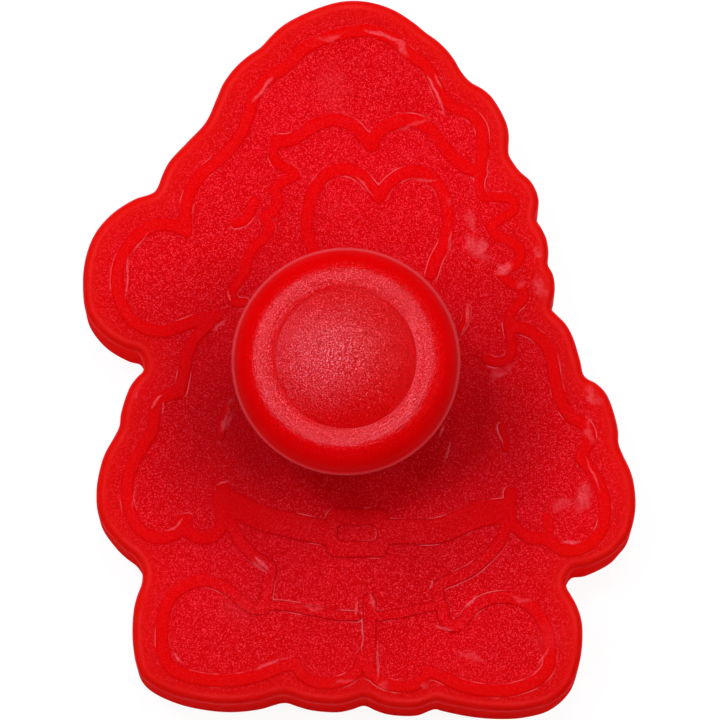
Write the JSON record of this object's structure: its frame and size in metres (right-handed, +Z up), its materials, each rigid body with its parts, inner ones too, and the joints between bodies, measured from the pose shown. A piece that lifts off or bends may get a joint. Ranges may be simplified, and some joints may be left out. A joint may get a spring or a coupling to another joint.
{
  "type": "press-down cookie cutter and embosser",
  "caption": "Sprung press-down biscuit cutter: lobed figure-shaped skirt, embossing plate inside, round dished knob on a plunger.",
  "frame": {"origin": "centre of the outline's bounding box, in the plane of the cutting edge", "axes": "+Z up out of the knob along the plunger, +Y towards the tip of the figure's hat, +X to the right seen from the knob side"},
  "size_m": [0.073, 0.0945, 0.0413],
  "materials": {
    "plate_plastic": "slightly translucent red moulded plastic, finely frosted flats, smooth lines and rim",
    "inner_plastic": "satin red moulded plastic",
    "knob_plastic": "satin to semi-gloss red moulded plastic with a fine orange-peel grain",
    "spring_steel": "drawn stainless wire",
    "screw_steel": "plain zinc-plated steel"
  },
  "bodies": {
    "cutter": {"cutter_body": "plate_plastic", "return_spring": "spring_steel"},
    "plunger": {"embossing_plate": "inner_plastic", "plunger_stem": "inner_plastic", "knob_base": "knob_plastic", "knob_shell": "knob_plastic", "thumb_cap": "knob_plastic", "knob_screw": "screw_steel"}
  },
  "joints": [
    {"name": "press_slide", "type": "slide", "parent": "cutter", "child": "plunger", "axis": [0, 0, -1], "range_m": [0, 0.0085], "stiffness_N_per_m": 250, "springref_m": -0.003, "deforming": ["return_spring"]}
  ]
}
